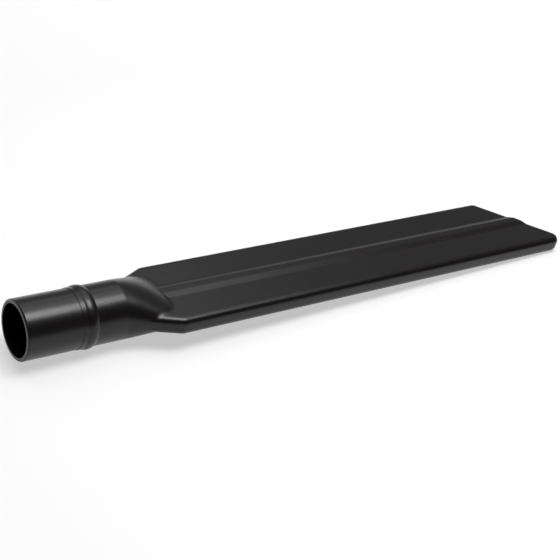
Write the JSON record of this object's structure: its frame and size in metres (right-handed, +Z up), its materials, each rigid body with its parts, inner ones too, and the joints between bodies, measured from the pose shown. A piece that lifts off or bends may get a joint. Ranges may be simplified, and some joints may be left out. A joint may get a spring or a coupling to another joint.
{
  "type": "vacuum_crevice_tool",
  "caption": "Long flat vacuum crevice tool in black plastic: a round hose cuff with a collar runs through a tapered nose into a wide blade with a low rib and a slanted open tip.",
  "frame": {"origin": "middle of the cuff's open mouth, on the cuff's axis", "axes": "+X from the mouth to the tip, +Y across the blade towards its shorter side, +Z up on the ribbed side"},
  "size_m": [0.4341, 0.0624, 0.0402],
  "materials": {
    "body": "satin black moulded plastic"
  },
  "bodies": {
    "root": {"crevice_tool": "body"}
  },
  "joints": []
}
